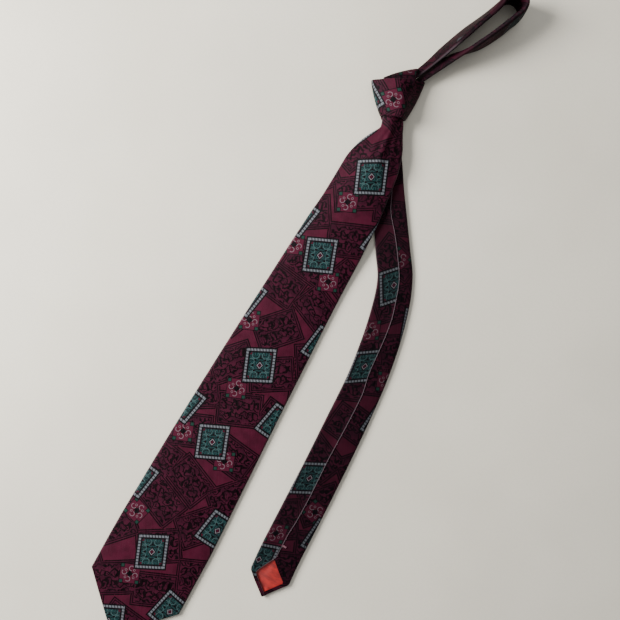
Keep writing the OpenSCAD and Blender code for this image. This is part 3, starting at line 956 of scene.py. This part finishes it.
def strip(name, rim_a, rim_b, half_thick, crown=0.0, shift=(0.0, 0.0), medallions=(), motifs=(),
          rubbed=(0.0, 0.0)):
    """A flattened tube whose two rounded rims follow rim_a and rim_b. Its outer face looks along
    (the way the strip travels) x (from a to b). The cloth runs (across, travel), plus shift.
    rubbed is how strong a pale painted highlight, partly wear, is on rim b and rim a, each one number or
    one a row."""
    centre, across = 0.5 * (rim_a + rim_b), rim_b - rim_a
    wide, across = np.linalg.norm(across, axis=1), unit(across)
    through = unit(np.cross(np.gradient(centre, axis=0), across))
    half_thick = np.broadcast_to(half_thick, wide.shape)
    flat = np.maximum(0.5 * wide - half_thick, 0.05)[:, None]
    thick = half_thick[:, None]
    share = np.linspace(-1.0, 1.0, STRIP_FACE)
    angle = np.linspace(-0.5 * math.pi, 0.5 * math.pi, STRIP_ARC + 2)[1:-1]
    offset = np.hstack([flat * share, flat + thick * np.cos(angle[::-1]),
                        flat * share[::-1], -flat - thick * np.cos(angle)])
    height = np.hstack([thick * (1.0 + crown * (1.0 - share ** 2)), thick * np.sin(angle[::-1]),
                        -thick * np.ones_like(share), thick * np.sin(angle)])
    points = (centre[:, None] + offset[..., None] * across[:, None]
              + height[..., None] * through[:, None])
    closed = np.concatenate([points, points[:, :1]], axis=1)
    total = distance_along(closed)
    girth = total - total[:, STRIP_FACE // 2, None] + shift[0]
    travel = distance_along(centre)[:, None] + shift[1]
    uv = np.dstack([girth, np.broadcast_to(travel, girth.shape)])
    # A pale painted highlight, partly wear, along the crest of each rim.
    worn = np.zeros(offset.shape)
    for start, amount in zip((STRIP_FACE, 2 * STRIP_FACE + STRIP_ARC), rubbed):
        amount = np.broadcast_to(amount, wide.shape)[:, None]
        worn[:, start:start + STRIP_ARC] = amount * np.cos(angle) ** 8
    piece = sheet_mesh(name, points, uv[:, :-1], uv[:, 1:], medallions, motifs, worn,
                       wrap=True, flip=True)
    thicken(piece, CLOTH)
    return piece


# ---- Knot
KNOT_MOUTH, KNOT_TURN = (1.0, -4.3), math.radians(22.0)
# rims of the knot's passes, in its own axes: from the mouth's middle, +Y to the knot's top
BAND_MOUTH = [(-8.4, 5.2, 1.6), (-9.8, 5.4, 4.4), (-9.4, 4.2, 8.8), (-6.6, 3.3, 12.6),
              (-2.0, 2.8, 15.2), (2.6, 2.5, 16.6), (6.4, 2.0, 16.9), (9.2, 1.9, 14.0),
              (11.0, 2.5, 9.0), (11.3, 3.5, 4.5), (9.4, 3.8, 1.6)]
BAND_TOP = [(-20.0, 36.4, 1.6), (-21.6, 36.6, 4.4), (-19.6, 36.2, 8.2), (-14.8, 35.8, 12.0),
            (-8.0, 35.8, 15.4), (-2.0, 36.2, 17.4), (2.6, 36.5, 18.2), (9.4, 37.2, 15.7),
            (17.6, 38.4, 10.8), (25.2, 39.8, 5.4), (24.0, 39.6, 1.6)]
BACK_MOUTH = [(-8.6, 2.4, 1.7), (0, 2.2, 1.6), (8.6, 1.4, 1.7)]
BACK_TOP = [(-20.6, 32, 1.7), (0, 34, 1.6), (22.4, 35.4, 1.7)]
OVER_LEFT = [(-7.5, 24, 10.6), (-9.8, 31, 12.2), (-11.2, 35.4, 11.6), (-11.9, 37.6, 8.0),
             (-11.2, 36.5, 4.2), (-8, 30, 3.6)]
OVER_RIGHT = [(13, 27, 12.8), (15.8, 36, 14.8), (17.2, 45.0, 13.4), (17.6, 49.0, 8.6),
              (16.4, 45.0, 4.0), (12, 34, 3.6)]
CROSS_LEFT = [(-13, 26, 5.2), (-9, 16, 7.4), (-4, 9, 8.6)]
CROSS_RIGHT = [(-4, 30, 5.2), (4, 24, 7.4), (7, 16, 8.6)]


def knot_rims(first, second, rows):
    """Two rims of a pass, smoothed, in the frame's axes."""
    cos, sin = math.cos(KNOT_TURN), math.sin(KNOT_TURN)
    rims = []
    for points in (through_points(first, rows), through_points(second, rows)):
        x, y, z = points.T
        plan = KNOT_MOUTH[0] + cos * x - sin * y, KNOT_MOUTH[1] + sin * x + cos * y
        rims.append(np.stack([*plan, z], 1))
    return rims


def make_knot(silk, shaded_silk, wool):
    mouth, top = knot_rims(BAND_MOUTH, BAND_TOP, 64)
    band = strip("knot_band", mouth, top, half_thick=1.2, crown=0.9, rubbed=(0.12, 0.08),
                 medallions=[(1.9, -3.3, 68, 68)], motifs=[(-3.0, 23.0, -15, -15)])
    finish_piece(band, silk, "knot", ("knot_front_band",))
    inset, lower = 0.12 * (top - mouth), (0, 0, 0.1)
    lining = strip("knot_band_wool", mouth + inset - lower, top - inset - lower, half_thick=0.55)
    finish_piece(lining, wool, "knot", ("knot_band_interlining",))
    back = strip("knot_back", *knot_rims(BACK_MOUTH, BACK_TOP, 14), half_thick=1.4, shift=(60, 20))
    finish_piece(back, silk, "knot", ("knot_back_pass",))
    over = strip("knot_over", *knot_rims(OVER_RIGHT, OVER_LEFT, 34), half_thick=1.3, crown=0.7,
                 shift=(20, 90), rubbed=(0.03, 0.03), motifs=[(11, 112, 10, 10)])
    # The over strip takes the darker copy of the silk, with painted shade mixed in.
    finish_piece(over, shaded_silk, "knot", ("knot_over_strip",))
    cross = strip("knot_cross", *knot_rims(CROSS_LEFT, CROSS_RIGHT, 12), half_thick=0.8,
                  shift=(-60, 40))
    finish_piece(cross, silk, "knot", ("knot_first_cross",))


# ---- Neck loop
LOOP_PIVOT = np.array([5.3, 51.5])
LOOP_ALONG = np.array([0.4147, 0.9100])
LOOP_RIGHTWARD = np.array([0.9100, -0.4147])
LOOP_BEND = ("loop_roots", "neck_loop", (3.2, 47.0, 6.7), (7.8, 57.0, 6.7))
# distance along the loop from its pivot, then rightward offset and height of the lower rim and
# of the upper rim: up the left strand, round the far end, and down the right strand
LEFT_STRAND = [
    (-17, -4.8, 4.4, 0.2, 9.1), (-10, -5.0, 4.4, 0.9, 9.8), (0, -5.3, 3.8, 1.2, 11.0),
    (11, -6.2, 2.2, 1.3, 13.2), (24, -7.8, 0.8, 1.5, 18.6), (40, -8.9, 0.3, 1.3, 24.2),
    (58, -9.0, 0.2, 0.0, 27.0), (76, -8.0, 0.2, -1.4, 27.0), (86, -7.3, 0.2, -3.6, 27.0)]
RIGHT_STRAND = [
    (85, 13.4, 0.2, 12.9, 27.0), (72, 13.8, 0.2, 13.2, 27.0), (55, 12.4, 0.2, 12.9, 26.0),
    (40, 7.4, 0.3, 11.8, 22.8), (31, 3.2, 0.4, 10.8, 20.0), (24, 1.8, 0.6, 9.8, 17.2),
    (11, 0.6, 1.4, 8.5, 12.6), (0, 0.8, 2.4, 7.6, 10.4), (-10, 1.5, 3.4, 6.8, 9.6),
    (-17, 2.1, 3.8, 6.3, 9.4)]


def far_end(degrees):
    """A station on the loop's far end, a half circle seen from above."""
    cos, sin = math.cos(math.radians(degrees)), math.sin(math.radians(degrees))
    return 92.5 + 10.1 * sin, 3.0 + 10.2 * cos, 0.2, 3.0 + 9.5 * cos, 27.0


def loop_rims():
    """Lower rim, upper rim and travel of even rows round the loop."""
    stations = np.array([*LEFT_STRAND, *map(far_end, range(165, 0, -22)), *RIGHT_STRAND], float)
    rims = []
    for offset, height in ((1, 2), (3, 4)):
        rims.append(LOOP_PIVOT + stations[:, :1] * LOOP_ALONG
                    + stations[:, offset, None] * LOOP_RIGHTWARD)
        rims.append(stations[:, height, None])
    rows, travel = along_line(np.hstack(rims), 2.2)
    return rows[:, :3], rows[:, 3:], travel


def make_neck_loop(silk, wool):
    """Returns the rims and the half thickness, for the stitches."""
    low, high, travel = loop_rims()
    half = 1.95 - 0.25 * np.cos(travel * FULL_TURN / travel[-1]) + 0.10 * np.sin(travel * 0.21)
    # A pale painted highlight along the upper rim of the left strand, near the knot.
    fold_highlight = 0.05 + 0.34 * ease(travel, 5, 13) * (1.0 - ease(travel, 43, 55))
    loop = strip("neck_silk", high, low, half, crown=0.35, rubbed=(0.05, fold_highlight),
                 medallions=[(-27.4, 50, -40, -40), (-6, 143, 18, 18)],
                 motifs=[(6, 103, 20, 20), (-4, 180, -10, -10)])
    finish_piece(loop, silk, LOOP_BEND, ("neck_shell", "loop_root_left", "loop_root_right"))
    middle = 0.5 * (low + high)
    inner_low, inner_high = [(middle + 0.84 * (rim - middle))[3:-3] for rim in (low, high)]
    lining = strip("neck_wool", inner_low, inner_high, half_thick=0.9)
    finish_piece(lining, wool, LOOP_BEND, ("neck_interlining",))
    return low, high, half


# ---- Stitches
STITCH_SIDES, STITCH_RINGS = 8, 7


def stitches(name, places, length, radius, material, body, replaces):
    """Short round stitches at (point, direction) places, joined as one piece."""
    points, faces, uvs = [], [], []
    last = STITCH_RINGS - 1
    girth = FULL_TURN * radius / STITCH_SIDES
    rise = length / STITCH_RINGS
    for point, direction in places:
        point, direction = np.asarray(point, float), np.asarray(direction, float)
        direction = direction / np.linalg.norm(direction)
        out = np.cross(direction, (0.0, 0.0, 1.0))
        out = out / max(np.linalg.norm(out), 1e-6)
        up = np.cross(out, direction)
        start = len(points)
        for i in range(STITCH_RINGS):
            share = i / last
            size = radius * math.sqrt(max(1.0 - (2.0 * share - 1.0) ** 4, 0.02))
            for j in range(STITCH_SIDES):
                angle = FULL_TURN * j / STITCH_SIDES
                points.append(point + (share - 0.5) * length * direction
                              + size * (math.cos(angle) * out + math.sin(angle) * up))
        for i in range(last):
            for j in range(STITCH_SIDES):
                corners = ((i, j), (i, j + 1), (i + 1, j + 1), (i + 1, j))
                faces.append([start + m * STITCH_SIDES + n % STITCH_SIDES for m, n in corners])
                uvs += [(n * girth, m * rise) for m, n in corners]
        for end in (0, last):
            ring = [start + end * STITCH_SIDES + j for j in range(STITCH_SIDES)]
            for j in range(1, STITCH_SIDES - 1):
                pair = [ring[j], ring[j + 1]]
                faces.append([ring[0], *(pair if end else pair[::-1])])
                uvs += [(0, 0), (0.2, 0), (0.2, 0.2)]
    mesh = bpy.data.meshes.new(name)
    mesh.from_pydata([(p * MM).tolist() for p in points], [], faces)
    write_layer(mesh, "cloth", np.array(uvs, float))
    mesh.shade_smooth()
    finish_piece(placed(name, mesh), material, body, replaces)


def make_blade_stitches(thread):
    below = np.arange(160.0, BLADE_SEAM_END - 4.0, 9.0)
    left, right = blade_edges(below)
    middle = 0.5 * (left + right)
    under = blade_underside(below, middle) + 0.12
    places = [((x, -b, z), (0.25, 1, 0)) for x, b, z in zip(middle, below, under)]
    stitches("blade_stitches", places, length=3.2, radius=0.13, material=thread,
             body="front_blade", replaces=("blade_slip_stitch",))
    places = [((-2.3 + 0.55 * i, -BLADE_SEAM_END, 0.3), (0, 1, 0)) for i in range(9)]
    stitches("blade_tack", places, length=4.5, radius=0.3, material=thread,
             body="front_blade", replaces=("blade_bar_tack",))


def make_tail_stitches(tail, thread):
    places = []
    for i in range(40, len(tail.travel), 4):
        if tail.opened[i] < 0.04:
            x, y = tail.axis[i] + (tail.seam[i] + TAIL_LAP + 0.02) * tail.side[i]
            z = tail.back(i, tail.seam[i]) + 0.32
            places.append(((x, y, z), (0.7 * tail.side[i][0] + 0.1, -1.0, 0)))
    stitches("tail_stitches", places, length=2.4, radius=0.13, material=thread,
             body="tail", replaces=("tail_slip_stitch",))
    places = [((97.6 + 0.42 * i, -386.0, 4.55), (0.1, 1, 0)) for i in range(9)]
    stitches("tail_tack", places, length=1.8, radius=0.24, material=thread,
             body="tail", replaces=("tail_bar_tack",))


def make_neck_stitches(low, high, half, thread):
    middle = 0.5 * (low + high)
    tangent = np.gradient(middle, axis=0)
    through = unit(np.cross(high - low, tangent))
    places = [(middle[i] - through[i] * (half[i] + 0.05), tangent[i])
              for i in range(14, len(low) - 14, 4)]
    stitches("neck_stitches", places, length=2.4, radius=0.13, material=thread,
             body="neck_loop", replaces=("neck_slip_stitch",))


# ---- Keeper and label, which lie under the blade
KEEPER_Y, KEEPER_HALF, KEEPER_TALL = -353.0, 26.0, 5.5
LABEL_HALF, LABEL_TOP, LABEL_FOOT = 15.0, -364.0, -406.0


def make_keeper(silk, thread):
    """The self-cloth loop that the tail is threaded through, and a row of tacks at each end."""
    across = np.linspace(-KEEPER_HALF, KEEPER_HALF, 31)
    droop = 0.56 - 0.08 * np.cos(across * math.pi / KEEPER_HALF)
    rims = [np.stack([across, np.full(31, KEEPER_Y + tall), droop], 1)
            for tall in (-KEEPER_TALL, KEEPER_TALL)]
    keeper = strip("keeper", *rims, half_thick=0.42, shift=(30, 300))
    finish_piece(keeper, silk, "front_blade", ("keeper_loop",))
    places = [((side * (KEEPER_HALF + 0.8), KEEPER_Y - 4.5 + 1.1 * i, 0.5), (1, 0, 0))
              for side in (-1, 1) for i in range(9)]
    stitches("keeper_stitches", places, length=2.2, radius=0.25, material=thread,
             body="front_blade", replaces=("keeper_tacks",))


def make_label(satin):
    """A blank woven label."""
    x, y = np.meshgrid(np.linspace(-LABEL_HALF, LABEL_HALF, 18), np.linspace(LABEL_TOP, LABEL_FOOT, 24))
    flat = np.dstack([x, y])
    points = np.dstack([x, y, np.full_like(x, 0.3)])
    label = sheet_mesh("label", points, flat[:, :-1], flat[:, 1:], flip=True)
    thicken(label, SATIN, offset=0.0)
    finish_piece(label, satin, "front_blade", ("care_label",))


# ---- Floor, and the whole tie
FLOOR_HALF = 3000.0


def make_floor():
    corners = [((VIEW_CENTRE[0] + x * FLOOR_HALF) * MM, (VIEW_CENTRE[1] + y * FLOOR_HALF) * MM, 0.0)
               for x, y in ((-1, -1), (1, -1), (1, 1), (-1, 1))]
    mesh = bpy.data.meshes.new("floor")
    mesh.from_pydata(corners, [], [(0, 1, 2, 3)])
    mesh.materials.append(floor_material())
    placed("floor", mesh)


def main():
    make_camera()
    make_light()
    make_floor()
    silk = silk_material("silk_jacquard")
    wool = wool_material()
    coral = satin_material("coral_satin", (0.16, 0.0036, 0.0020), (0.33, 0.0090, 0.0050))
    dark = satin_material("label_satin", (0.010, 0.010, 0.014), (0.022, 0.022, 0.028))
    thread = thread_material("burgundy_thread", (0.060, 0.012, 0.022), (0.190, 0.040, 0.070))
    # A darker copy of the silk with painted shade mixed in, for the tail, the knot's over strip and the
    # neck loop.
    shaded_silk = silk_material("silk_jacquard_shaded", shade=0.52)
    tail = TailShape()
    make_blade(silk)
    make_blade_inside(wool, coral)
    make_tail(tail, shaded_silk)
    make_tail_inside(tail, wool, coral)
    make_knot(silk, shaded_silk, wool)
    low, high, half = make_neck_loop(shaded_silk, wool)
    make_blade_stitches(thread)
    make_tail_stitches(tail, thread)
    make_neck_stitches(low, high, half, thread)
    make_keeper(silk, thread)
    make_label(dark)


main()
